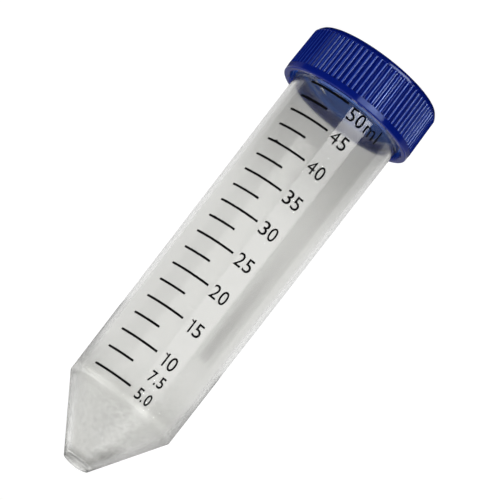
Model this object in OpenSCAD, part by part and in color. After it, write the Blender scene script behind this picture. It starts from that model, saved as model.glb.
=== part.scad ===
// 50 ml conical centrifuge tube with a ribbed screw cap.
// It stands on the flat top of its cap with the conical tip up: the origin is
// the centre of the cap's top face, and +Z runs along the axis to the tip.

/* [Tube] */
// Length of the moulded tube, mouth to tip
tube_length = 113.9; // [96:0.1:140]
// Outer diameter at the mouth
mouth_diameter = 29.3; // [24.5:0.1:36]
// Outer diameter at the shoulder, where the cone begins
shoulder_diameter = 28; // [24:0.1:33.8]
// Wall at the mouth
mouth_wall = 0.95; // [0.75:0.01:1.3]
// Wall just below the shoulder
shoulder_wall = 1.25; // [1:0.01:1.6]
// Radius on both edges of the mouth
lip_round = 0.3; // [0.1:0.01:0.37]

/* [Cone] */
// Length of the cone along the axis
cone_length = 16.5; // [13:0.1:20]
// Wall of the cone, square to its surface
cone_wall = 1.5; // [1.2:0.01:1.8]
// Outer diameter where the cone meets the domed tip
tip_diameter = 6.5; // [5.2:0.1:8]
// Height of the domed tip
tip_dome = 0.55; // [0.3:0.01:0.8]
// Thickness of the bottom under the cavity
floor_wall = 2.1; // [1.6:0.05:2.6]
// Radius in the corner of the cavity's bottom
floor_round = 1; // [0.4:0.1:1.2]

/* [Stop bead] */
// Length of the bead that the cap's mouth closes against, along the axis
bead_length = 2.4; // [1.8:0.1:3]
// Height of the bead over the neck
bead_height = 0.35; // [0.2:0.01:0.6]

/* [Cap] */
// Height of the cap
cap_height = 13; // [11:0.1:17]
// Thickness of the cap's top
top_wall = 1.6; // [1.2:0.05:2.2]
// Radial room between the neck and the skirt, for the screw thread
thread_room = 1.43; // [1.1:0.01:1.8]
// Wall of the skirt at its smooth collar
skirt_wall = 1.55; // [1.3:0.01:2]
// Widening of the skirt's inside from the top to the mouth, on the radius
skirt_draft = 0.15; // [0:0.01:0.3]
// Chamfer on the inner edge of the skirt's mouth
lead_in = 0.35; // [0.1:0.01:0.6]
// Length of the smooth collar at the skirt's mouth
collar_length = 1.7; // [1.2:0.1:2.6]
// Radius on the collar's outer edge
collar_round = 0.35; // [0.1:0.01:0.6]
// Height of the smooth crown over the ribs
crown_height = 1.45; // [1.2:0.05:2.2]
// Radius on the crown's upper edge
crown_round = 0.85; // [0.5:0.01:1.1]
// How far the crown slopes in before that radius
crown_slope = 0.95; // [0.4:0.01:1.3]

/* [Grip ribs] */
// Number of ribs around the cap
rib_count = 78; // [48:1:96]
// Width of a rib at its foot
rib_width = 0.72; // [0.55:0.01:0.86]
// Depth of the grooves between the ribs
rib_depth = 0.45; // [0.3:0.01:0.6]
// Radius on a rib's two edges
rib_round = 0.2; // [0.1:0.01:0.24]
// Height of the ribs over the collar
rib_rise = 0.08; // [0:0.01:0.2]
// Narrowing of the ribbed drum from the collar to the crown, on the radius
rib_taper = 0.22; // [0:0.01:0.4]

/* [Plug seal] */
// Depth of the plug ring that enters the tube's mouth
plug_depth = 2.6; // [1.8:0.1:3.6]
// Wall of the plug ring
plug_wall = 1; // [0.7:0.05:1.4]
// Radial clearance of the plug ring in the mouth
plug_clearance = 0.12; // [0.08:0.01:0.3]
// Slope on the plug ring's outer edge, as it enters the mouth
plug_lead_in = 0.5; // [0.2:0.05:0.6]

/* [Hidden] */
$fn = 144;
arc_steps = 6;   // straight pieces in a quarter circle of an outline
rib_steps = 3;   // the same on a rib's edge
through = 1;     // how far a cut runs past the face it opens

// Levels along the axis
mouth_z = top_wall;
tip_z = mouth_z + tube_length;
cone_end_z = tip_z - tip_dome;
shoulder_z = cone_end_z - cone_length;
floor_z = tip_z - floor_wall;

// Outside of the tube
mouth_r = mouth_diameter / 2;
shoulder_r = shoulder_diameter / 2;
tip_r = tip_diameter / 2;
cone_angle = atan((shoulder_r - tip_r) / cone_length);
dome_r = (tip_r * tip_r + tip_dome * tip_dome) / (2 * tip_dome);
function tube_r(z) = mouth_r + (shoulder_r - mouth_r) * (z - mouth_z) / (shoulder_z - mouth_z);

// Cavity of the tube: a drafted bore, and a cone parallel to the outer one
bore_mouth_r = mouth_r - mouth_wall;
bore_shoulder_r = shoulder_r - shoulder_wall;
bore_draft = (bore_mouth_r - bore_shoulder_r) / (shoulder_z - mouth_z);
function bore_r(z) = bore_mouth_r - bore_draft * (z - mouth_z);
function cavity_cone_r(z) = shoulder_r - cone_wall / cos(cone_angle) - (z - shoulder_z) * tan(cone_angle);
cavity_cone_z = shoulder_z
    + (shoulder_wall - cone_wall / cos(cone_angle)) / (tan(cone_angle) - bore_draft);
floor_arc_z = floor_z - floor_round;
floor_arc_r = cavity_cone_r(floor_arc_z) - floor_round / cos(cone_angle);

// Stop bead, flush with the cap's mouth
bead_z = cap_height - bead_length / 2;
bead_r = (bead_length * bead_length / 4 + bead_height * bead_height) / (2 * bead_height);
bead_half_angle = asin(bead_length / 2 / bead_r);

// Outside of the cap
collar_z = cap_height - collar_length;
skirt_r = tube_r(cap_height) + thread_room;
collar_r = skirt_r + skirt_wall;
rib_foot_r = collar_r + rib_rise;
rib_top_r = rib_foot_r - rib_taper;
rib_tilt = atan(rib_taper / (collar_z - crown_height));
crown_arc_r = rib_top_r - crown_slope - crown_round;
groove_half = PI * rib_top_r / rib_count - rib_width / 2;

// Plug ring, sized to the bore where its edge ends
plug_r = bore_r(mouth_z + plug_depth) - plug_clearance;
plug_z = top_wall + plug_depth;

// Points on an arc of radius r around [x, y], from angle a to angle b
function arc(x, y, r, a, b, steps = arc_steps) =
    [for (i = [0 : steps]) let (t = a + (b - a) * i / steps) [x + r * cos(t), y + r * sin(t)]];

// Outline of the tube's outside, from the mouth up to the domed tip
module tube_outline() {
    dome_angle = asin(tip_r / dome_r);
    polygon(concat(
        [[0, mouth_z]],
        arc(mouth_r - lip_round, mouth_z + lip_round, lip_round, -90, 0),
        [[shoulder_r, shoulder_z]],
        arc(0, tip_z - dome_r, dome_r, 90 - dome_angle, 90)));
}

// Rounded bead round the neck
module bead_outline() {
    neck_r = tube_r(bead_z);
    polygon(concat(
        [[neck_r - mouth_wall / 2, bead_z + bead_length / 2],
         [neck_r - mouth_wall / 2, bead_z - bead_length / 2]],
        arc(neck_r + bead_height - bead_r, bead_z, bead_r, -bead_half_angle, bead_half_angle)));
}

// Outline of the tube's cavity, open past the mouth
module cavity_outline() {
    polygon(concat(
        [[0, mouth_z - through],
         [bore_mouth_r + lip_round, mouth_z - through]],
        arc(bore_mouth_r + lip_round, mouth_z + lip_round, lip_round, -90, -180),
        [[bore_r(cavity_cone_z), cavity_cone_z]],
        arc(floor_arc_r, floor_arc_z, floor_round, cone_angle, 90),
        [[0, floor_z]]));
}

// Outline of the cap's solid outside: crown, ribbed drum and collar
module cap_outline() {
    polygon(concat(
        [[0, 0]],
        arc(crown_arc_r, crown_round, crown_round, -90, 0),
        [[rib_top_r, crown_height],
         [rib_foot_r, collar_z],
         [collar_r, collar_z]],
        arc(collar_r - collar_round, cap_height - collar_round, collar_round, 0, 90),
        [[0, cap_height]]));
}

// Outline of the room inside the cap's skirt
module skirt_outline() {
    polygon([
        [0, top_wall],
        [skirt_r - skirt_draft, top_wall],
        [skirt_r, cap_height - lead_in],
        [skirt_r + lead_in, cap_height],
        [skirt_r + lead_in, cap_height + through],
        [0, cap_height + through]]);
}

// Outline of the plug ring, rooted in the cap's top
module plug_outline() {
    polygon([
        [plug_r - plug_wall, top_wall / 2],
        [plug_r, top_wall / 2],
        [plug_r, plug_z - plug_lead_in],
        [plug_r - plug_lead_in / 2, plug_z],
        [plug_r - plug_wall, plug_z]]);
}

// One groove between two ribs, leaning with the drum, longer than it at both
// ends and shaped to leave the ribs' edges round
module rib_groove() {
    half = concat(
        [[-rib_depth, groove_half]],
        arc(-rib_round, groove_half + rib_round, rib_round, -90, 0, rib_steps),
        [[through, groove_half + rib_round]]);
    mirrored = [for (i = [len(half) - 1 : -1 : 0]) [half[i][0], -half[i][1]]];
    translate([rib_top_r, 0, crown_height])
        rotate([0, rib_tilt, 0])
            translate([0, 0, -through])
                linear_extrude(height = cap_height)
                    polygon(concat(half, mirrored));
}

// All the grooves, ending square at the crown and at the collar
module rib_grooves() {
    intersection() {
        for (i = [0 : rib_count - 1])
            rotate([0, 0, 360 * i / rib_count]) rib_groove();
        translate([0, 0, crown_height])
            cylinder(r = rib_foot_r + 2 * through, h = collar_z - crown_height);
    }
}

// Screw cap, moulded in one piece with its ribs and plug seal
module cap() {
    color([0.07, 0.13, 0.62]) {
        difference() {
            rotate_extrude() cap_outline();
            rotate_extrude() skirt_outline();
            rib_grooves();
        }
        rotate_extrude() plug_outline();
    }
}

// Tube, moulded in one piece with its cone and stop bead
module tube() {
    color([0.84, 0.86, 0.87, 0.55])
        difference() {
            rotate_extrude() {
                tube_outline();
                bead_outline();
            }
            rotate_extrude() cavity_outline();
        }
}

cap();
tube();
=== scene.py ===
"""Looks of a 50 ml conical tube with a ribbed screw cap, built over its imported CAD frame.

The object stands on the flat top of its cap. The origin is the centre of that face, +Z runs
along the axis to the conical tip, and the printed volume scale faces -Y. Sizes in the classes
are in millimetres, and every mesh is in metres.
"""

import logging
import math
from contextlib import contextmanager
from dataclasses import dataclass
from enum import Enum, auto
from functools import partial
from typing import Any, Callable, Iterator, Sequence

import bmesh
import bpy
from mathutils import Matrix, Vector


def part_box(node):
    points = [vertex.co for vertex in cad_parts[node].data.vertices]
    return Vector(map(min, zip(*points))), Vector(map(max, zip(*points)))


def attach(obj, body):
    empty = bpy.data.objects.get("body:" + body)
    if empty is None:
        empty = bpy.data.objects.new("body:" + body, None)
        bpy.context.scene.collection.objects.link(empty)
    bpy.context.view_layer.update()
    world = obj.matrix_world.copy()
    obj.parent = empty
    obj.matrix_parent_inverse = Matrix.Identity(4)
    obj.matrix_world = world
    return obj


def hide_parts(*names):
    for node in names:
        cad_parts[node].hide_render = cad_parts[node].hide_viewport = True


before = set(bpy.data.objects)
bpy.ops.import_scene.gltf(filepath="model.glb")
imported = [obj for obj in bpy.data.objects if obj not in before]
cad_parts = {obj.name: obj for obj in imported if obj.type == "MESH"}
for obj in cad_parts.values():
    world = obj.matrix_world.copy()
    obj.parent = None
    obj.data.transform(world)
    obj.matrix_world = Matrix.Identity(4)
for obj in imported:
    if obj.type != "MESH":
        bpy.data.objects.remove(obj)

Piece = bpy.types.Object
Material = bpy.types.Material
Node = bpy.types.Node
Socket = bpy.types.NodeSocket
Adder = Callable[..., bpy.types.Node]
Pair = tuple[float, float]
Triple = tuple[float, float, float]

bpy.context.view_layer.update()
MM = 0.001
FULL_TURN = 2 * math.pi
TOUCHING = 0.002 * MM
# One straight piece of a rounding turns by about this angle, and is no longer than this.
FACET_TURN = 11.0
FACET_LENGTH = 0.4
# Stands a flat layout up in the XZ plane, facing -Y and head down as the tube is.
UPRIGHT = (-math.pi / 2, 0.0, math.pi)
# The settings that many nodes share.
SMOOTH: dict[Any, Any] = {"interpolation_type": "SMOOTHSTEP"}
RGBA: dict[Any, Any] = {"data_type": "RGBA"}
log = logging.getLogger("conical_tube")


def node_span(node: str) -> Pair:
    """Gives a CAD node's lowest and highest level, in millimetres."""
    low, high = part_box(node)
    return low[2] / MM, high[2] / MM


# ---- hand tools


class Element(Enum):
    """What a selection in edit mode picks."""

    VERTEX = "VERT"
    EDGE = "EDGE"
    FACE = "FACE"


@dataclass(frozen=True)
class Corner:
    """One corner of a turned outline, with the radius that rounds it."""

    radius: float
    level: float
    rounding: float = 0.0

    def place(self) -> Vector:
        """Gives the corner's place in the XZ plane, in metres."""
        return Vector((self.radius, 0.0, self.level)) * MM


def activate(*pieces: Piece) -> None:
    """Makes some objects the only selected ones, and the first of them the active one.

    Args:
        pieces: the objects, at least one.
    """
    bpy.ops.object.select_all(action="DESELECT")
    for piece in pieces:
        piece.select_set(True)
    bpy.context.view_layer.objects.active = pieces[0]


@contextmanager
def edit_mode(piece: Piece) -> Iterator[None]:
    """Opens a piece in edit mode with all of it selected, and leaves it again.

    Args:
        piece: the mesh object to shape.

    Returns:
        A context in which mesh operators act on the piece.
    """
    activate(piece)
    bpy.ops.object.mode_set(mode="EDIT")
    bpy.ops.mesh.select_all(action="SELECT")
    try:
        yield
    finally:
        bpy.ops.object.mode_set(mode="OBJECT")


def pick(piece: Piece, element: Element, test: Callable[[Any], bool]) -> int:
    """Selects the vertices, edges or faces that pass a test, and nothing else.

    Args:
        piece: the mesh object, in edit mode.
        element: what is tested and selected.
        test: takes one bmesh vertex, edge or face and says whether it is wanted.

    Returns:
        The number of elements selected.
    """
    bpy.ops.mesh.select_mode(type=element.value)
    bpy.ops.mesh.select_all(action="DESELECT")
    mesh = bmesh.from_edit_mesh(piece.data)
    parts = {Element.VERTEX: mesh.verts, Element.EDGE: mesh.edges, Element.FACE: mesh.faces}
    chosen = [part for part in parts[element] if test(part)]
    for part in chosen:
        part.select_set(True)
    mesh.select_flush_mode()
    bmesh.update_edit_mesh(piece.data)
    return len(chosen)


def apply_modifier(piece: Piece, kind: str, **settings: Any) -> None:
    """Adds a modifier with its settings and applies it.

    Args:
        piece: the object to change.
        kind: the modifier's type.
        settings: its properties by name.
    """
    activate(piece)
    modifier = piece.modifiers.new(kind.title(), kind)
    for name, value in settings.items():
        setattr(modifier, name, value)
    bpy.ops.object.modifier_apply(modifier=modifier.name)


def close_mesh(piece: Piece) -> None:
    """Merges doubled points at seams and poles, and turns all faces outwards.

    Args:
        piece: the mesh object.
    """
    with edit_mode(piece):
        bpy.ops.mesh.remove_doubles(threshold=TOUCHING)
        bpy.ops.mesh.normals_make_consistent(inside=False)


def smooth(piece: Piece, angle: float, weight: int = 50) -> None:
    """Shades a piece smooth, but for edges sharper than an angle in degrees.

    Args:
        piece: the mesh object.
        angle: the angle in degrees.
        weight: how much the large faces outweigh the small ones, 50 for not at all.
    """
    activate(piece)
    bpy.ops.object.shade_smooth_by_angle(angle=math.radians(angle))
    # The long walls keep their true normals, and the narrow roundings take up the turn.
    apply_modifier(piece, "WEIGHTED_NORMAL", mode="FACE_AREA", weight=weight, keep_sharp=True)


def settle(piece: Piece) -> None:
    """Puts a piece's place, turn and scale into its mesh."""
    activate(piece)
    bpy.ops.object.transform_apply(location=True, rotation=True, scale=True)


def join(pieces: Sequence[Piece], name: str) -> Piece:
    """Joins pieces into the first one.

    Args:
        pieces: the objects to join.
        name: the joined piece's name.

    Returns:
        The joined object.
    """
    activate(*pieces)
    bpy.ops.object.join()
    pieces[0].name = name
    return pieces[0]


def arc_corners(
    centre: Corner, radius: float, start: float, stop: float, steps: int
) -> list[Corner]:
    """Lays corners along a shallow arc of an outline.

    Args:
        centre: the arc's centre.
        radius: the arc's radius.
        start: the first corner's angle in degrees, from the +radius direction.
        stop: the last corner's angle in degrees.
        steps: the number of straight pieces.

    Returns:
        The corners from start to stop.
    """
    angles = [math.radians(start + (stop - start) * i / steps) for i in range(steps + 1)]
    turns = [(radius * math.cos(a), radius * math.sin(a)) for a in angles]
    return [Corner(centre.radius + out, centre.level + up) for out, up in turns]


def add_plane(name: str, scale: Sequence[float] = (1.0, 1.0, 1.0), **placing: Any) -> Piece:
    """Adds a plane to start a piece from.

    Args:
        name: the new object's name.
        scale: how much it is drawn out along each side.
        placing: its size, location and rotation.

    Returns:
        The plane, with its place in its mesh.
    """
    bpy.ops.mesh.primitive_plane_add(**placing)
    plane = bpy.context.object
    plane.name = name
    plane.scale = scale
    settle(plane)
    return plane


def add_point(name: str, place: Vector) -> Piece:
    """Adds one vertex, to pull an outline from.

    Args:
        name: the new object's name.
        place: where the vertex lies, in metres.

    Returns:
        The object with its one vertex.
    """
    point = add_plane(name, size=0.1 * MM, location=place)
    with edit_mode(point):
        bpy.ops.mesh.merge(type="CENTER")
    return point


def turn_solid(name: str, corners: Sequence[Corner], steps: int) -> Piece:
    """Draws an outline by pulling a vertex from corner to corner, rounds it and spins it.

    Args:
        name: the new object's name.
        corners: the outline in order, beginning and ending on the axis.
        steps: the number of faces round the axis.

    Returns:
        The closed solid.
    """
    solid = add_point(name, corners[0].place())
    with edit_mode(solid):
        for here, there in zip(corners, corners[1:]):
            step = there.place() - here.place()
            bpy.ops.mesh.extrude_region_move(TRANSFORM_OT_translate={"value": step})
        for before, here, after in zip(corners, corners[1:], corners[2:]):
            if here.rounding > 0:
                spot = here.place()
                turn = (spot - before.place()).angle(after.place() - spot)
                reach = here.rounding * math.tan(turn / 2) * MM
                by_turn = round(math.degrees(turn) / FACET_TURN)
                facets = max(2, by_turn, round(here.rounding * turn / FACET_LENGTH))
                pick(solid, Element.VERTEX, lambda v: (v.co - spot).length < TOUCHING)
                bpy.ops.mesh.bevel(offset=reach, segments=facets, profile=0.5, affect="VERTICES")
        bpy.ops.mesh.select_all(action="SELECT")
        bpy.ops.mesh.spin(steps=steps, angle=FULL_TURN, center=(0, 0, 0), axis=(0, 0, 1))
    close_mesh(solid)
    return solid


def coat(piece: Piece, material: Material) -> None:
    """Gives a piece its one material, and logs the piece.

    Args:
        piece: the mesh object.
        material: the material.
    """
    piece.data.materials.clear()
    piece.data.materials.append(material)
    log.info("%s: %d faces, %s", piece.name, len(piece.data.polygons), material.name)


# ---- finishes


def linear(hex_colour: str) -> tuple[float, float, float, float]:
    """Turns an sRGB hex value into the linear colour that shaders take.

    Args:
        hex_colour: the colour as #RRGGBB.

    Returns:
        Red, green, blue and alpha.
    """
    parts = [int(hex_colour[i : i + 2], 16) / 255 for i in (1, 3, 5)]
    flat = [c / 12.92 if c <= 0.04045 else ((c + 0.055) / 1.055) ** 2.4 for c in parts]
    return (flat[0], flat[1], flat[2], 1.0)


def add_node(
    tree: bpy.types.NodeTree,
    kind: str,
    settings: dict[Any, Any] | None = None,
    links: dict[Any, Node | Socket] | None = None,
) -> Node:
    """Adds a node with its settings and links.

    Args:
        tree: the node tree.
        kind: the node's type, without its ShaderNode prefix.
        settings: values by property name, or by input name or number.
        links: what feeds each input, a socket or a node by its first output in use.

    Returns:
        The new node.
    """
    node = tree.nodes.new("ShaderNode" + kind)
    for key, value in (settings or {}).items():
        if isinstance(key, str) and key in node.bl_rna.properties:
            setattr(node, key, value)
        else:
            node.inputs[key].default_value = value
    for key, source in (links or {}).items():
        if isinstance(source, Node):
            source = next(output for output in source.outputs if output.enabled)
        tree.links.new(source, node.inputs[key])
    return node


def empty_tree(owner: Material | bpy.types.World) -> Adder:
    """Gives a material or a world an empty node tree.

    Args:
        owner: the material or the world.

    Returns:
        The function add_node, bound to the new tree.
    """
    owner.use_nodes = True
    owner.node_tree.nodes.clear()
    return partial(add_node, owner.node_tree)


def new_material(name: str) -> tuple[Material, Adder]:
    """Makes an empty node material and gives it with what adds nodes to it."""
    material = bpy.data.materials.new(name)
    return material, empty_tree(material)


class Zone(Enum):
    """Levels in millimetres between which a trait of the tube grows from none to full."""

    # Painted shade: the wall is greyer towards the neck, where the cap darkens what shows through
    # it.
    NECK = (46.0, 15.0)
    # The stipple of the eroded mould core thins out up the wall, and so does its roughness.
    STIPPLE = (84.0, 99.0)
    ROUGH = (86.0, 95.0)
    # The thick ring inside the shoulder is milky all round.
    RING = (93.5, 96.0)
    RING_END = (101.0, 98.5)
    # Painted shade: the end of the tip is greyer.
    FLOOR = (111.6, 114.6)


@dataclass(frozen=True)
class NaturalPolypropylene:
    """Injection-moulded natural polypropylene: clear but faintly milky.

    The wall lets the background through a little greyed, the polished body shows soft
    highlights, and the cone is stippled where the mould's core is spark-eroded.
    """

    clear: str = "#E9E9E7"
    haze: str = "#DBDBD8"
    # Painted shade: the wall greyer towards the neck.
    neck_haze: str = "#D2D2D0"
    # Painted shade: the ragged spot on one side of the tip.
    tip_shade: str = "#8E8E8B"
    # Painted shade: the greyer end of the tip.
    thick_tip: str = "#A2A29F"
    lamp_light: str = "#F2F2F2"
    ring_haze: float = 0.6
    refraction: float = 1.49
    clearness: float = 0.98
    body_roughness: float = 0.09
    cone_roughness: float = 0.26
    stipple_size: float = 1.0
    stipple_height: float = 0.02
    milky_grains: Pair = (0.42, 0.6)
    rag_size: float = 1.1111
    spot_place: Triple = (-4.6, -4.2, 110.7)
    spot_size: Triple = (3.4, 4.8, 6.2)
    spot_lean: float = 33.0

    def material(self) -> Material:
        """Builds the material.

        Returns:
            The material, shared by all of the tube.
        """
        material, add = new_material("natural_polypropylene")
        place = add("TexCoord").outputs["Object"]
        height = add("SeparateXYZ", links={"Vector": place}).outputs["Z"]
        grown: dict[Zone, Node] = {}
        for zone in Zone:
            ends = {"From Min": zone.value[0] * MM, "From Max": zone.value[1] * MM}
            grown[zone] = add("MapRange", SMOOTH | ends, {"Value": height})
        stipple = add(
            "TexNoise",
            {"Scale": 1 / (self.stipple_size * MM), "Detail": 3.0, "Roughness": 0.6},
            {"Vector": place},
        )
        least, most = self.milky_grains
        grain = add(
            "MapRange",
            {"From Min": least, "From Max": most},
            {"Value": stipple, "To Max": grown[Zone.STIPPLE]},
        )
        begun = add("MapRange", {"To Max": self.ring_haze}, {"Value": grown[Zone.RING]})
        ring = add("Math", {"operation": "MULTIPLY"}, {0: begun, 1: grown[Zone.RING_END]})
        wall = {6: linear(self.clear), 7: linear(self.neck_haze)}
        tone = add("Mix", RGBA | wall, {0: grown[Zone.NECK]})
        # The neck, the spot on the tip and the tip's end get painted shade; the grain and the
        # ring add haze.
        for amount, colour in (
            (grain, self.haze),
            (ring, self.haze),
            (self.tip_spot(add, place), self.tip_shade),
            (grown[Zone.FLOOR], self.thick_tip),
        ):
            tone = add("Mix", RGBA | {7: linear(colour)}, {0: amount, 6: tone})
        relief = {"Height": stipple, "Strength": grown[Zone.STIPPLE]}
        bump = add("Bump", {"Distance": self.stipple_height * MM}, relief)
        ends = {"To Min": self.body_roughness, "To Max": self.cone_roughness}
        finish = add("MapRange", ends, {"Value": grown[Zone.ROUGH]})
        plastic = add(
            "BsdfPrincipled",
            {"IOR": self.refraction, "Transmission Weight": self.clearness},
            {"Base Color": tone, "Roughness": finish, "Normal": bump},
        )
        # Lamps shine through the wall, so the inside is lit and the shadow is pale.
        passed = add("BsdfTransparent", {"Color": linear(self.lamp_light)})
        shadow = add("LightPath").outputs["Is Shadow Ray"]
        both = add("MixShader", links={0: shadow, 1: plastic, 2: passed})
        add("OutputMaterial", links={"Surface": both})
        return material

    def tip_spot(self, add: Adder, place: Socket) -> Socket:
        """Paints shade on one side of the tip as a ragged dark spot.

        Args:
            add: adds a node to the material's tree.
            place: the point's Object coordinates.

        Returns:
            How dark the spot is.
        """
        spot = add(
            "Mapping",
            {
                "vector_type": "TEXTURE",
                "Location": Vector(self.spot_place) * MM,
                "Rotation": (0.0, math.radians(self.spot_lean), 0.0),
                "Scale": Vector(self.spot_size) * MM,
            },
            {"Vector": place},
        )
        rags = {"Scale": 1 / (self.rag_size * MM), "Detail": 2.0}
        noise = add("TexNoise", rags, {"Vector": place}).outputs["Color"]
        edge = RGBA | {"blend_type": "LINEAR_LIGHT", 0: 0.5}
        ragged = add("Mix", edge, {6: spot, 7: noise})
        ball = {"gradient_type": "SPHERICAL"}
        return add("TexGradient", ball, {"Vector": ragged}).outputs["Fac"]


@dataclass(frozen=True)
class BluePolypropylene:
    """Injection-moulded royal blue polypropylene: deep, even colour under a soft gloss.

    The rounded crests of the ribs carry a painted highlight, one lighter, glossy line each
    between dull grooves, and the skin has the fine grain of a moulded closure. Low in the skirt
    the inside gets painted light, a paler blue where it shows through the tube.
    """

    colour: str = "#00136B"
    worn: str = "#041772"
    # Painted highlight on the crest of each rib.
    crest: str = "#3450AE"
    # Painted light: the paler blue low inside the skirt.
    inside: str = "#3E78DA"
    sheen: float = 0.35
    sheen_tint: tuple[float, float, float, float] = (0.54, 0.69, 1.0, 1.0)
    refraction: float = 1.49
    skin_roughness: float = 0.14
    crest_roughness: float = 0.12
    groove_roughness: float = 0.22
    cloud_size: float = 5.5556
    grain_size: float = 0.35
    grain_height: float = 0.004
    grain_strength: float = 0.6
    crest_depth: Pair = (0.008, 0.0045)
    groove_depth: Pair = (0.1, 0.25)
    bore_radius: Pair = (16.2, 16.1)
    bore_level: Pair = (11.6, 9.0)
    margin: float = 0.02

    def crest_line(self, add: Adder, ends: Sequence[Corner], height: Socket) -> tuple[Node, Node]:
        """Works out how far out the crests of the ribs are, and whether a point is beside them.

        Args:
            add: adds a node to the material's tree.
            ends: the corners of the cap's outline where the ribs begin and end.
            height: the point's height.

        Returns:
            The crests' radius at this height in metres, and 1 beside the ribs or else 0.
        """
        top, foot = (corner.place() for corner in ends)
        line = {"From Min": top.z, "From Max": foot.z, "To Min": top.x, "To Max": foot.x}
        half = (foot.z - top.z) / 2 + self.margin * MM
        within = {"operation": "COMPARE", 1: (foot.z + top.z) / 2, 2: half}
        return add("MapRange", line, {"Value": height}), add("Math", within, {0: height})

    def material(self, ends: Sequence[Corner]) -> Material:
        """Builds the material.

        Args:
            ends: the corners of the cap's outline where the ribs begin and end.

        Returns:
            The material of the cap.
        """
        material, add = new_material("royal_blue_polypropylene")
        place = add("TexCoord").outputs["Object"]
        parts = add("SeparateXYZ", links={"Vector": place}).outputs
        height = parts["Z"]
        flat = add("CombineXYZ", links={"X": parts["X"], "Y": parts["Y"]})
        radius = add("VectorMath", {"operation": "LENGTH"}, {0: flat})
        crests, on_drum = self.crest_line(add, ends, height)
        depth = add("Math", {"operation": "SUBTRACT"}, {0: crests, 1: radius})
        # Where each trait begins and is full: the crest's painted highlight is the last
        # thousandths of a millimetre of a rib, a groove is deeper, and the bore's painted light
        # is pale low in the skirt.
        crest, groove, deep = (
            add("MapRange", SMOOTH | {"From Min": begins * MM, "From Max": full * MM}, links)
            for (begins, full), links in (
                (self.crest_depth, {"Value": depth, "To Max": on_drum}),
                (self.groove_depth, {"Value": depth, "To Max": on_drum}),
                (self.bore_level, {"Value": height}),
            )
        )
        # Painted light, paler low in the skirt's bore.
        least, most = self.bore_radius
        edge = {"From Min": least * MM, "From Max": most * MM}
        bore = add("MapRange", edge, {"Value": radius, "To Max": deep})
        # Flow of the melt: soft clouds some millimetres wide, barely lighter.
        flow = {"Scale": 1 / (self.cloud_size * MM), "Detail": 2.0}
        clouds = add("TexNoise", flow, {"Vector": place})
        skin = {6: linear(self.colour), 7: linear(self.worn)}
        tone = add("Mix", RGBA | skin, {0: clouds})
        # Painted highlight on the crests, and painted light low inside the skirt.
        for amount, colour in ((crest, self.crest), (bore, self.inside)):
            tone = add("Mix", RGBA | {7: linear(colour)}, {0: amount, 6: tone})
        shine = {"To Min": self.skin_roughness, "To Max": self.crest_roughness}
        gloss = add("MapRange", shine, {"Value": crest})
        dull = {"To Max": self.groove_roughness}
        finish = add("MapRange", dull, {"Value": groove, "To Min": gloss})
        # Fine grain of the mould's skin, drawn large enough to show.
        fine = {"Scale": 1 / (self.grain_size * MM), "Detail": 2.0}
        grain = add("TexNoise", fine, {"Vector": place})
        relief = {"Distance": self.grain_height * MM, "Strength": self.grain_strength}
        bump = add("Bump", relief, {"Height": grain})
        plastic = add(
            "BsdfPrincipled",
            {
                "IOR": self.refraction,
                "Specular IOR Level": self.sheen,
                "Specular Tint": self.sheen_tint,
            },
            {"Base Color": tone, "Roughness": finish, "Normal": bump},
        )
        add("OutputMaterial", links={"Surface": plastic})
        return material


@dataclass(frozen=True)
class ScreenInk:
    """Screen-printed black ink: dense and slightly matt, with a faintly uneven film."""

    colour: str = "#020203"
    thin: str = "#060607"
    roughness: float = 0.45
    sheen: float = 0.05
    pinhole_size: float = 0.625

    def material(self) -> Material:
        """Builds the material.

        Returns:
            The material of the printed scale.
        """
        material, add = new_material("screen_ink_black")
        place = add("TexCoord").outputs["Object"]
        # The film is a little thinner in spots, where the mesh let less ink through.
        spots = {"Scale": 1 / (self.pinhole_size * MM), "Detail": 2.0}
        noise = add("TexNoise", spots, {"Vector": place})
        film = {6: linear(self.colour), 7: linear(self.thin)}
        tone = add("Mix", RGBA | film, {0: noise})
        gloss = {"Roughness": self.roughness, "Specular IOR Level": self.sheen}
        ink = add("BsdfPrincipled", gloss, {"Base Color": tone})
        add("OutputMaterial", links={"Surface": ink})
        return material


# ---- pieces


class Hand(Enum):
    """Which wall a screw thread stands on."""

    OUTSIDE = 1
    INSIDE = -1


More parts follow.
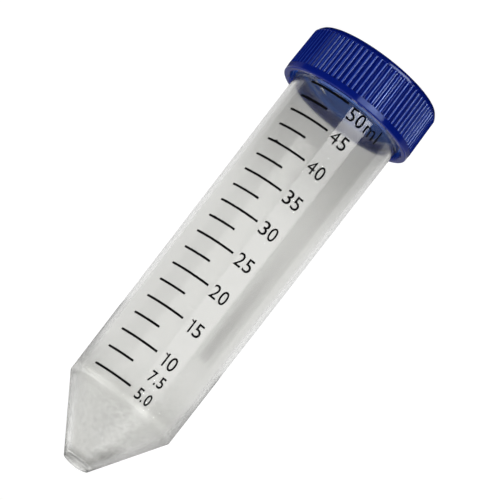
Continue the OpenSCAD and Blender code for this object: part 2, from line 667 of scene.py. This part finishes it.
@dataclass(frozen=True)
class ScrewThread:
    """A right-handed rib wound round the axis, tapering away at both ends.

    Its radii and its widths are those of its foot and of its crest, and it starts at a level
    and at an angle in degrees.
    """

    wall: Hand
    radii: Pair
    widths: Pair
    turns: float
    start: Pair
    pitch: float = 3.4
    steps: int = 96
    rounding: float = 0.16
    # Each end slides on by so many millimetres and shrinks to so much of its size.
    run_outs: tuple[Pair, ...] = ((0.7, 0.75), (0.7, 0.6), (0.6, 0.3))

    def profile(self, name: str) -> Piece:
        """Shapes the rib's section from a plane.

        Args:
            name: the new object's name.

        Returns:
            The closed section as a wire in the XZ plane.
        """
        foot, crest = self.radii
        wide, narrow = self.widths
        middle = (foot + crest) / 2 * MM
        centre = (middle, 0.0, self.start[0] * MM)
        section = add_plane(
            name,
            (abs(crest - foot) * MM, wide * MM, 1.0),
            size=1.0,
            location=centre,
            rotation=(math.pi / 2, 0.0, 0.0),
        )
        side = self.wall.value
        narrowing = (1.0, 1.0, narrow / wide)
        with edit_mode(section):
            bpy.ops.mesh.delete(type="ONLY_FACE")
            pick(section, Element.VERTEX, lambda v: side * (v.co.x - middle) > 0)
            bpy.ops.transform.resize(value=narrowing, center_override=centre)
            bpy.ops.mesh.bevel(offset=self.rounding * MM, segments=3, affect="VERTICES")
        return section

    def run_out(self, rib: Piece, level: float, angle: float, along: float) -> None:
        """Tapers one end of the wound rib into the wall and closes it.

        Args:
            rib: the wound rib.
            level: the end's level.
            angle: the end's angle round the axis in radians.
            along: +1 for the far end, -1 for the near end.
        """
        out = Vector((math.cos(angle), math.sin(angle), 0.0))
        tangent = Vector((-math.sin(angle), math.cos(angle), 0.0)) * along
        foot = out * self.radii[0] * MM + Vector((0.0, 0.0, level * MM))
        reach = 1.5 * self.widths[0] * MM
        with edit_mode(rib):
            pick(rib, Element.VERTEX, lambda v: v.is_boundary and (v.co - foot).length < reach)
            for slide, share in self.run_outs:
                step = tangent * slide * MM
                bpy.ops.mesh.extrude_region_move(TRANSFORM_OT_translate={"value": step})
                foot = foot + step
                bpy.ops.transform.resize(value=(share, share, share), center_override=foot)
            bpy.ops.mesh.merge(type="CENTER")

    def build(self, name: str) -> Piece:
        """Winds the section into the rib.

        Args:
            name: the new object's name.

        Returns:
            The rib as a closed mesh.
        """
        rib = self.profile(name)
        last = FULL_TURN * self.turns
        rise = self.pitch * self.turns
        steps = round(self.steps * self.turns)
        apply_modifier(
            rib,
            "SCREW",
            angle=last,
            screw_offset=rise * MM,
            steps=steps,
            render_steps=steps,
            use_merge_vertices=False,
        )
        level, angle = self.start
        self.run_out(rib, level, 0.0, -1.0)
        self.run_out(rib, level + rise, last, 1.0)
        rib.rotation_euler = (0.0, 0.0, math.radians(angle))
        settle(rib)
        close_mesh(rib)
        return rib


@dataclass
class ConicalTube:
    """The moulded tube: drafted body, cone with a domed tip, stop bead and neck thread."""

    finish: NaturalPolypropylene
    steps: int = 240
    mouth_level: float = node_span("tube")[0]
    tip_level: float = node_span("tube")[1]
    cone_length: float = 16.5
    tip_dome: float = 0.55
    floor_wall: float = 2.1
    mouth_radius: float = 14.65
    shoulder_radius: float = 14.0
    tip_radius: float = 3.25
    tip_rounding: float = 0.5
    shoulder_rounding: float = 0.4
    bore_mouth: float = 13.7
    bore_shoulder: float = 12.75
    cone_wall: float = 1.5
    lip: float = 0.3
    floor_rounding: float = 1.0
    inner_rounding: float = 5.0
    bead_top: float = node_span("cap")[1]
    bead_length: float = 2.4
    bead_height: float = 0.35
    sharp_angle: float = 28.0
    thread: ScrewThread = ScrewThread(
        Hand.OUTSIDE, radii=(14.5, 15.22), widths=(1.7, 0.9), turns=1.6, start=(3.6, 200.0)
    )

    @property
    def shoulder_level(self) -> float:
        """Gives the level where the cone begins."""
        return self.tip_level - self.tip_dome - self.cone_length

    def outline(self) -> list[Corner]:
        """Lists the outline's corners, down the outside from the tip and back up the bore.

        Returns:
            The corners, beginning and ending on the axis.
        """
        dome = (self.tip_radius**2 + self.tip_dome**2) / (2 * self.tip_dome)
        edge = math.degrees(math.asin(self.tip_radius / dome))
        tip = arc_corners(Corner(0.0, self.tip_level - dome), dome, 90.0, 90.0 - edge, 6)
        body_length = self.shoulder_level - self.mouth_level
        half = self.bead_length / 2
        bead_level = self.bead_top - half
        curve = (half**2 + self.bead_height**2) / (2 * self.bead_height)
        swing = math.degrees(math.asin(half / curve))
        share = (bead_level - self.mouth_level) / body_length
        taper = self.shoulder_radius - self.mouth_radius
        neck = self.mouth_radius + taper * share + self.bead_height
        bead = arc_corners(Corner(neck - curve, bead_level), curve, swing, -swing, 8)
        slope = math.atan2(self.shoulder_radius - self.tip_radius, self.cone_length)
        cavity_end = self.tip_level - self.floor_wall
        draft = (self.bore_mouth - self.bore_shoulder) / body_length
        inset = self.cone_wall / math.cos(slope)
        rise = (self.shoulder_radius - inset - self.bore_shoulder) / (math.tan(slope) - draft)
        corner_level = self.shoulder_level + rise
        corner_radius = self.bore_shoulder - draft * rise
        narrowing = (cavity_end - self.shoulder_level) * math.tan(slope)
        floor_radius = self.shoulder_radius - inset - narrowing
        return [
            *tip[:-1],
            Corner(self.tip_radius, self.tip_level - self.tip_dome, self.tip_rounding),
            Corner(self.shoulder_radius, self.shoulder_level, self.shoulder_rounding),
            *bead,
            Corner(self.mouth_radius, self.mouth_level, self.lip),
            Corner(self.bore_mouth, self.mouth_level, self.lip),
            Corner(corner_radius, corner_level, self.inner_rounding),
            Corner(floor_radius, cavity_end, self.floor_rounding),
            Corner(0.0, cavity_end),
        ]

    def build(self) -> Piece:
        """Turns the tube, adds its neck thread and dresses it.

        Returns:
            The finished tube.
        """
        shell = turn_solid("tube_shell", self.outline(), self.steps)
        rib = self.thread.build("neck_thread")
        apply_modifier(shell, "BOOLEAN", operation="UNION", solver="EXACT", object=rib)
        bpy.data.objects.remove(rib)
        close_mesh(shell)
        smooth(shell, self.sharp_angle)
        coat(shell, self.finish.material())
        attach(shell, "tube")
        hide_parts("tube")
        return shell


@dataclass
class ScrewCap:
    """The moulded cap: crown, ribbed drum, smooth collar, skirt, plug seal and thread."""

    finish: BluePolypropylene
    ribs: int = 78
    height: float = node_span("cap")[1]
    top_wall: float = node_span("tube")[0]
    crown_height: float = 1.45
    crown_slope: float = 0.95
    # Shares of the slope and of the height at which the crown turns down.
    crown_bulge: Pair = (0.38, 0.55)
    crown_rounding: float = 0.6
    face_rounding: float = 0.7225
    drum_top: float = 17.4
    drum_foot: float = 17.615
    groove_depth: float = 0.45
    groove_draft: float = 0.13
    rib_rounding: float = 0.3
    collar_length: float = 1.7
    collar_radius: float = 17.545
    collar_rounding: float = 0.35
    skirt_mouth: float = 15.997
    skirt_draft: float = 0.15
    lead_in: float = 0.35
    mouth_rounding: float = 0.12
    edge_rounding: float = 0.15
    root_rounding: float = 0.3
    plug_outer: float = 13.555
    plug_wall: float = 1.0
    plug_level: float = 4.2
    plug_lead: Pair = (0.25, 0.5)
    plug_rounding: float = 0.2
    plug_rim: float = 0.1
    sharp_angle: float = 32.0
    thread: ScrewThread = ScrewThread(
        Hand.INSIDE, radii=(16.15, 15.42), widths=(1.6, 0.8), turns=1.4, start=(5.4, 20.0)
    )

    @property
    def collar_level(self) -> float:
        """Gives the level where the ribs end and the collar begins."""
        return self.height - self.collar_length

    @property
    def rib_ends(self) -> tuple[Corner, Corner]:
        """Gives the corners of the outline where the ribs begin and end."""
        top = Corner(self.drum_top, self.crown_height)
        return top, Corner(self.drum_foot, self.collar_level)

    def outline(self) -> list[Corner]:
        """Lists the outline's corners, out over the crown and back inside the skirt.

        Returns:
            The corners, beginning and ending on the axis.
        """
        face = self.drum_top - self.crown_slope
        turn_in, turn_up = self.crown_bulge
        turn_radius = self.drum_top - turn_in * self.crown_slope
        plug_inner = self.plug_outer - self.plug_wall
        lead_depth, lead_length = self.plug_lead
        return [
            Corner(0.0, 0.0),
            Corner(face, 0.0, self.face_rounding),
            Corner(turn_radius, turn_up * self.crown_height, self.crown_rounding),
            *self.rib_ends,
            Corner(self.collar_radius, self.collar_level),
            Corner(self.collar_radius, self.height, self.collar_rounding),
            Corner(self.skirt_mouth + self.lead_in, self.height, self.mouth_rounding),
            Corner(self.skirt_mouth, self.height - self.lead_in, self.edge_rounding),
            Corner(self.skirt_mouth - self.skirt_draft, self.top_wall, self.root_rounding),
            Corner(self.plug_outer, self.top_wall, self.plug_rounding),
            Corner(self.plug_outer, self.plug_level - lead_length, self.plug_rounding),
            Corner(self.plug_outer - lead_depth, self.plug_level, self.plug_rim),
            Corner(plug_inner, self.plug_level, self.edge_rounding),
            Corner(plug_inner, self.top_wall, self.root_rounding),
            Corner(0.0, self.top_wall),
        ]

    def press_grooves(self, shell: Piece) -> None:
        """Presses every other column of the drum inwards and rounds the ribs left between.

        Args:
            shell: the turned cap.
        """
        pitch = FULL_TURN / self.ribs
        low = self.crown_height * MM
        high = self.collar_level * MM
        skin = (self.drum_top - self.edge_rounding) * MM

        def groove_face(face: bmesh.types.BMFace) -> bool:
            """Says whether a face is on the drum and in a column that becomes a groove.

            Args:
                face: the face.

            Returns:
                Whether it is pressed inwards.
            """
            spot = face.calc_center_median()
            second_half = math.atan2(spot.y, spot.x) % pitch > pitch / 2
            return second_half and low < spot.z < high and spot.xy.length > skin

        def rib_edge(edge: bmesh.types.BMEdge) -> bool:
            """Says whether an edge runs down the side of a rib, all along the drum.

            Args:
                edge: the edge.

            Returns:
                Whether it is rounded.
            """
            levels = sorted(v.co.z for v in edge.verts)
            upright = levels[1] - levels[0] > 2 * MM and min(levels) > low - TOUCHING
            outer = all(v.co.xy.length > skin for v in edge.verts)
            return upright and outer and max(levels) < high + TOUCHING

        with edit_mode(shell):
            found = pick(shell, Element.FACE, groove_face)
            # Pressed in two steps, so that the rib's foot is rounded.
            for share in (0.6, 0.4):
                bpy.ops.mesh.inset(
                    thickness=self.groove_draft * MM,
                    depth=-share * self.groove_depth * MM,
                    use_individual=True,
                )
            pick(shell, Element.EDGE, rib_edge)
            bpy.ops.mesh.bevel(offset=self.rib_rounding * MM, segments=6, affect="EDGES")
        log.info("cap grooves pressed: %d", found)

    def build(self) -> Piece:
        """Turns the cap, presses its grooves, adds its thread and dresses it.

        Returns:
            The finished cap.
        """
        shell = turn_solid("cap_shell", self.outline(), 2 * self.ribs)
        self.press_grooves(shell)
        rib = self.thread.build("cap_thread")
        join([shell, rib], "cap_shell")
        smooth(shell, self.sharp_angle, weight=95)
        coat(shell, self.finish.material(self.rib_ends))
        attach(shell, "cap")
        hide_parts("cap")
        return shell


class Tick(Enum):
    """Where a printed line of the scale ends, in degrees from the front."""

    LONG = -3.3
    SHORT = -15.6


@dataclass
class VolumeScale:
    """The printed scale: lines at every 2.5 ml and a number at every 5 ml."""

    tube: ConicalTube
    finish: ScreenInk
    wrap_radius: float = 14.28
    line_start: float = -47.2
    line_width: float = 0.56
    line_rounding: float = 0.1
    digit_height: float = 3.4
    small_digit_height: float = 2.75
    # How tall a digit of the typeface is at a size of 1, and how high its middle.
    type_height: float = 0.7
    type_middle: float = 0.345
    film: float = 0.02
    lift: float = 0.008
    strip_width: float = 0.45
    bore_radius: float = 12.726
    bore_taper: float = 0.0111
    cone_volume: float = 3.267
    neck_volume: float = 45.0
    neck_pitch: float = 4.005
    volume_step: float = 2.5

    def level(self, volume: float) -> float:
        """Finds the level that a volume reaches in the tapered bore.

        Args:
            volume: the volume in ml.

        Returns:
            The level in mm in the object's frame.
        """
        if volume > self.neck_volume:
            steps = (volume - self.neck_volume) / self.volume_step
            return self.level(self.neck_volume) - steps * self.neck_pitch
        # The bore widens evenly, so the cube of its radius grows with the volume below.
        cube = self.bore_radius**3
        cube += 3 * self.bore_taper * (volume - self.cone_volume) * 1000 / math.pi
        rise = (cube ** (1 / 3) - self.bore_radius) / self.bore_taper
        return self.tube.shoulder_level - rise

    def along(self, angle: float) -> float:
        """Gives how far round the wall an angle from the front lies, laid flat along X."""
        return -self.wrap_radius * math.radians(angle)

    def line(self, volume: float, tick: Tick) -> Piece:
        """Lays out one line of the scale on the flat.

        Args:
            volume: the volume it marks.
            tick: where it ends.

        Returns:
            The line as a flat strip in the XZ plane.
        """
        start = self.along(self.line_start)
        stop = self.along(tick.value)
        strip = add_plane(
            "line",
            (abs(start - stop) * MM, self.line_width * MM, 1.0),
            size=1.0,
            rotation=UPRIGHT,
            location=((start + stop) / 2 * MM, 0.0, self.level(volume) * MM),
        )
        with edit_mode(strip):
            bpy.ops.mesh.bevel(offset=self.line_rounding * MM, segments=2, affect="VERTICES")
        return strip

    def blot(self, volume: float, angle: float) -> Piece:
        """Lays a small blot of ink against a line of the scale.

        Args:
            volume: the volume the line marks.
            angle: the blot's middle, in degrees from the front.

        Returns:
            The blot as a flat disc in the XZ plane.
        """
        middle = self.along(angle)
        level = self.level(volume) - 0.34
        bpy.ops.mesh.primitive_circle_add(
            vertices=12, radius=0.5 * MM, fill_type="NGON", rotation=UPRIGHT
        )
        spot = bpy.context.object
        spot.scale = (1.0, 0.62, 1.0)
        spot.location = (middle * MM, 0.0, level * MM)
        settle(spot)
        # It tapers upwards, to one side.
        peak = ((middle - 0.3) * MM, 0.0, 0.0)
        with edit_mode(spot):
            pick(spot, Element.VERTEX, lambda v: v.co.z < (level - 0.1) * MM)
            bpy.ops.transform.resize(value=(0.45, 1.0, 1.0), center_override=peak)
        return spot

    def glyph(self, text: str, angle: float, level: float, height: float, width: float) -> Piece:
        """Lays out one character on the flat.

        Args:
            text: the character.
            angle: its middle, in degrees from the front.
            level: the level of its middle.
            height: the height of a digit.
            width: its own width.

        Returns:
            The character as a flat mesh in the XZ plane.
        """
        bpy.ops.object.text_add()
        shape = bpy.context.object
        shape.data.body = text
        shape.data.resolution_u = 8
        # Bolder strokes, most in the small figures, but for the 4, whose counter is too small.
        bold = 0.014 if height < self.digit_height else 0.005
        shape.data.offset = 0.0 if text == "4" else bold
        bpy.ops.object.convert(target="MESH")
        shape = bpy.context.object
        xs = [v.co.x for v in shape.data.vertices]
        centre = (-(max(xs) + min(xs)) / 2, -self.type_middle, 0.0)
        with edit_mode(shape):
            bpy.ops.transform.translate(value=centre)
            bpy.ops.mesh.dissolve_limited(angle_limit=math.radians(0.5))
        shape.scale = (width * MM / (max(xs) - min(xs)), height * MM / self.type_height, 1.0)
        shape.rotation_euler = UPRIGHT
        shape.location = (self.along(angle) * MM, 0.0, level * MM)
        settle(shape)
        return shape

    def number(self, text: str, volume: float) -> list[Piece]:
        """Lays out one number of the scale.

        Args:
            text: what it reads.
            volume: the volume that it stands beside.

        Returns:
            Its characters.
        """
        # Where each place of a number stands, in degrees from the front, and how wide it is.
        if "." in text:
            places = ((7.1, 1.44), (12.2, 0.42), (17.5, 1.44))
            height = self.small_digit_height
        else:
            places = ((5.4, 1.88), (15.0, 1.92), (28.3, 3.1), (39.0, 0.42))
            height = self.digit_height
        level = self.level(volume) + (1.5 if text.endswith("ml") else 0.15)
        shapes = []
        for character, (angle, width) in zip(text, places):
            if character == "1":
                angle, width = angle + 2.0, 0.4
            shapes.append(self.glyph(character, angle, level, height, width))
            if character == "1":
                # The short flag of the figure.
                beside = self.along(angle) + 0.12 * height
                flag = add_plane(
                    "flag",
                    (0.26 * height * MM, 0.09 * height * MM, 1.0),
                    size=1.0,
                    rotation=(-math.pi / 2, math.radians(-24), math.pi),
                    location=(beside * MM, 0.0, (level - 0.33 * height) * MM),
                )
                shapes.append(flag)
        return shapes

    def print_on(self, flat: Piece, wall: Piece) -> None:
        """Bends a flat layout round the tube and lays it on the wall as a film of ink.

        Args:
            flat: the layout in the XZ plane.
            wall: the tube that it lies on.
        """
        xs = [v.co.x for v in flat.data.vertices]
        low, high = min(xs), max(xs)
        cuts = math.ceil((high - low) / (self.strip_width * MM))
        with edit_mode(flat):
            for cut in range(1, cuts):
                place = (low + (high - low) * cut / cuts, 0.0, 0.0)
                bpy.ops.mesh.select_all(action="SELECT")
                bpy.ops.mesh.bisect(plane_co=place, plane_no=(1.0, 0.0, 0.0))
        apply_modifier(
            flat,
            "SIMPLE_DEFORM",
            deform_method="BEND",
            deform_axis="Z",
            angle=(high - low) / (self.wrap_radius * MM),
        )
        flat.location = (0.0, -self.wrap_radius * MM, 0.0)
        settle(flat)
        apply_modifier(
            flat,
            "SHRINKWRAP",
            target=wall,
            wrap_method="NEAREST_SURFACEPOINT",
            wrap_mode="OUTSIDE_SURFACE",
            offset=self.lift * MM,
        )
        apply_modifier(flat, "SOLIDIFY", thickness=self.film * MM, offset=1.0)
        coat(flat, self.finish.material())
        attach(flat, "tube")

    def build(self, wall: Piece) -> list[Piece]:
        """Prints the scale on the tube.

        Args:
            wall: the finished tube.

        Returns:
            The lines and the numbers, one piece each.
        """
        lines = []
        for count in range(2, 21):
            tick = Tick.SHORT if count % 2 else Tick.LONG
            lines.append(self.line(count * self.volume_step, tick))
        lines.append(self.blot(40.0, -37.3))
        marks = join(lines, "volume_marks")
        figures = []
        for text, amount in (("5.0", 5.0), ("7.5", 7.5), ("50ml", 50.0)):
            figures.extend(self.number(text, amount))
        for amount in range(10, 50, 5):
            figures.extend(self.number(str(amount), float(amount)))
        numbers = join(figures, "volume_numbers")
        self.print_on(marks, wall)
        self.print_on(numbers, wall)
        return [marks, numbers]


# ---- studio


class Reach(Enum):
    """How far a card shows: in the gloss, also turned back inside the wall, or through it."""

    GLOSS = auto()
    INSIDE = auto()
    THROUGH = auto()


@dataclass(frozen=True)
class Card:
    """A curved card round the object: a softbox or a flag that its gloss or its wall shows.

    Its arc is a start and a span in degrees, its levels are its foot and its top, and its
    brightness goes from the first to the second glow between the two levels of its fade.
    """

    name: str
    arc: Pair
    levels: Pair
    glow: Pair
    fade: Pair = (0.0, 1.0)
    reach: Reach = Reach.GLOSS
    distance: float = 440.0
    inner: float = 0.0

    def cloth(self) -> Material:
        """Makes the card's cloth, which fades upwards from one brightness to another.

        Returns:
            The card's material.
        """
        material, add = new_material(self.name + "_cloth")
        place = add("TexCoord").outputs["Object"]
        height = add("SeparateXYZ", links={"Vector": place}).outputs["Z"]
        ends = {"From Min": self.fade[0] * MM, "From Max": self.fade[1] * MM}
        ends |= {"To Min": self.glow[0], "To Max": self.glow[1]}
        strength = add("MapRange", SMOOTH | ends, {"Value": height})
        shown = add("Emission", links={"Strength": strength})
        if self.reach is Reach.INSIDE:
            # A look straight through the tube finds no card, only one turned back by its wall.
            path = add("LightPath").outputs["Glossy Depth"]
            turned = add("Math", {"operation": "MINIMUM", 1: 1.0}, {0: path})
            clear = add("BsdfTransparent")
            shown = add("MixShader", links={0: turned, 1: clear, 2: shown})
        add("OutputMaterial", links={"Surface": shown})
        material.cycles.emission_sampling = "NONE"
        return material

    def build(self) -> Piece:
        """Bends the card round the axis, with a bottom where it has an inner radius.

        Returns:
            The card.
        """
        angle = math.radians(self.arc[0])
        away = Vector((-math.sin(angle), -math.cos(angle), 0.0)) * MM
        bottom, top = (Vector((0.0, 0.0, level * MM)) for level in self.levels)
        sides = [bottom - top]
        if self.inner > 0.0:
            sides.append(away * (self.inner - self.distance))
        card = add_point(self.name, away * self.distance + top)
        with edit_mode(card):
            for side in sides:
                bpy.ops.mesh.extrude_region_move(TRANSFORM_OT_translate={"value": side})
            bpy.ops.mesh.select_all(action="SELECT")
            span = math.radians(self.arc[1])
            bpy.ops.mesh.spin(steps=60, angle=span, center=(0, 0, 0), axis=(0, 0, 1))
        coat(card, self.cloth())
        for ray in ("camera", "diffuse", "volume_scatter", "shadow"):
            setattr(card, "visible_" + ray, False)
        card.visible_transmission = self.reach is not Reach.GLOSS
        return card


@dataclass(frozen=True)
class Lamp:
    """One soft area lamp, aimed at the middle of the object."""

    name: str
    place: Triple
    size: float
    power: float
    aim: Triple = (0.0, 0.0, 50.0)

    def build(self) -> Piece:
        """Adds the lamp.

        Returns:
            The lamp object.
        """
        bpy.ops.object.light_add(type="AREA", location=Vector(self.place) * MM)
        lamp = bpy.context.object
        lamp.name = self.name
        lamp.data.size = self.size * MM
        lamp.data.energy = self.power
        aim = Vector(self.aim) * MM - lamp.location
        lamp.rotation_euler = aim.to_track_quat("-Z", "Y").to_euler()
        lamp.visible_glossy = False
        return lamp


@dataclass
class Studio:
    """A plain pale floor, a white background, soft lamps, cards and the camera."""

    floor_colour: str = "#E8E8E8"
    floor_glow: float = 1.16
    floor_glow_share: float = 0.8
    floor_gap: float = 0.02
    ambient: float = 0.55
    lens: float = 219.05
    sensor: float = 36.0
    roll: float = 37.67
    camera_place: Triple = (-1.713, -685.36, 180.99)
    camera_target: Triple = (-1.713, 0.0, 51.61)
    lamps: tuple[Lamp, ...] = (
        Lamp("key_lamp", (-520.0, -620.0, 620.0), 500.0, 3.4),
        Lamp("fill_lamp", (620.0, -420.0, 360.0), 600.0, 2.2),
        Lamp("back_lamp", (150.0, 760.0, 520.0), 600.0, 1.8),
    )
    cards: tuple[Card, ...] = (
        # The broad soft highlight, in two parts, which the wall and the drum show.
        Card("softbox", (2, 48), (-92, 90), (8.5, 2.2), (-90, -64), Reach.INSIDE, 430),
        Card("low_softbox", (2, 48), (-240, -92), (2.0, 6.0), (-112, -98), Reach.INSIDE, 430),
        # The bright lines on the crests of the ribs, and the shine on the crown.
        Card("rib_strip", (20, 16), (-170, -105), (31.0, 31.0), distance=428),
        Card("crown_strip", (12, 64), (-150, -149), (9.0, 9.0), distance=200, inner=60),
        # A narrow grey strip close behind the tube, seen through its wall.
        Card("grey_strip", (165.6, 4.6), (30, 70), (0.95, 0.71), (30, 64), Reach.THROUGH, 61),
        # Dark cards, which draw the edges of the tube and keep the cap's blue deep.
        Card("black_flag", (50, 52), (-240, 20), (0.0, 0.0), reach=Reach.INSIDE),
        Card("left_flag", (-110, 112), (-240, 20), (0.0, 1.0), (-85, -35), Reach.INSIDE),
        Card("right_flag", (102, 68), (-240, 0), (0.0, 1.0), (-102, -74)),
        Card("back_flag", (125, 110), (15, 300), (0.3, 0.3)),
        # A dark tray under the floor, which the cap's underside shows.
        Card("dark_tray", (0, 360), (-300, -92), (0.0, 0.0), distance=450, inner=1),
    )

    def build_floor(self) -> Piece:
        """Lays the floor, which shows white but keeps the object's shadow.

        Returns:
            The floor.
        """
        floor = add_plane("floor", size=12.0, location=(0.0, 0.0, -self.floor_gap * MM))
        material, add = new_material("matt_white_paper")
        path = add("LightPath").outputs
        rays = {0: path["Is Camera Ray"], 1: path["Is Transmission Ray"]}
        seen = add("Math", {"operation": "ADD", "use_clamp": True}, rays)
        paper = add("BsdfDiffuse", {"Color": linear(self.floor_colour)})
        part = {"operation": "MULTIPLY", 1: self.floor_glow_share}
        share = add("Math", part, {0: seen})
        white = add("Emission", {"Strength": self.floor_glow})
        both = add("MixShader", links={0: share, 1: paper, 2: white})
        add("OutputMaterial", links={"Surface": both})
        material.cycles.emission_sampling = "NONE"
        coat(floor, material)
        floor.visible_glossy = False
        floor.visible_transmission = False
        return floor

    def build_world(self) -> None:
        """Fills the room: white to the eye, in gloss and through plastic, softer as light."""
        world = bpy.data.worlds.new("studio_world")
        bpy.context.scene.world = world
        add = empty_tree(world)
        path = add("LightPath").outputs
        seen: Node | Socket = path["Is Camera Ray"]
        for ray in ("Is Glossy Ray", "Is Transmission Ray"):
            total = {"operation": "ADD", "use_clamp": True}
            seen = add("Math", total, {0: seen, 1: path[ray]})
        ends = {"To Min": self.ambient, "To Max": 1.0}
        strength = add("MapRange", ends, {"Value": seen})
        white = {"Color": (1.0, 1.0, 1.0, 1.0)}
        sky = add("Background", white, {"Strength": strength})
        add("OutputWorld", links={"Surface": sky})

    def build_camera(self) -> None:
        """Sets the camera: a long lens a little above the object, rolled so the tube leans."""
        place = Vector(self.camera_place) * MM
        target = Vector(self.camera_target) * MM
        bpy.ops.object.camera_add(location=place)
        camera = bpy.context.object
        camera.name = "camera"
        aim = (target - place).to_track_quat("-Z", "Y")
        camera.rotation_euler = aim.to_euler()
        camera.rotation_euler.rotate_axis("Z", math.radians(180.0 + self.roll))
        camera.data.lens = self.lens
        camera.data.sensor_width = self.sensor
        camera.data.clip_start = 0.05
        camera.data.clip_end = 40.0
        bpy.context.scene.camera = camera

    def build(self) -> None:
        """Sets up floor, background, lamps, cards and camera."""
        self.build_floor()
        self.build_world()
        for lamp in self.lamps:
            lamp.build()
        for card in self.cards:
            card.build()
        self.build_camera()
        bpy.context.scene.view_settings.view_transform = "Standard"
        log.info("studio: %d lamps, %d cards", len(self.lamps), len(self.cards))


def main() -> None:
    """Builds the object and its studio, in order."""
    logging.basicConfig(level=logging.INFO, format="%(name)s: %(message)s")
    tube = ConicalTube(NaturalPolypropylene())
    shell = tube.build()
    ScrewCap(BluePolypropylene()).build()
    VolumeScale(tube, ScreenInk()).build(shell)
    Studio().build()


if __name__ == "__main__":
    main()
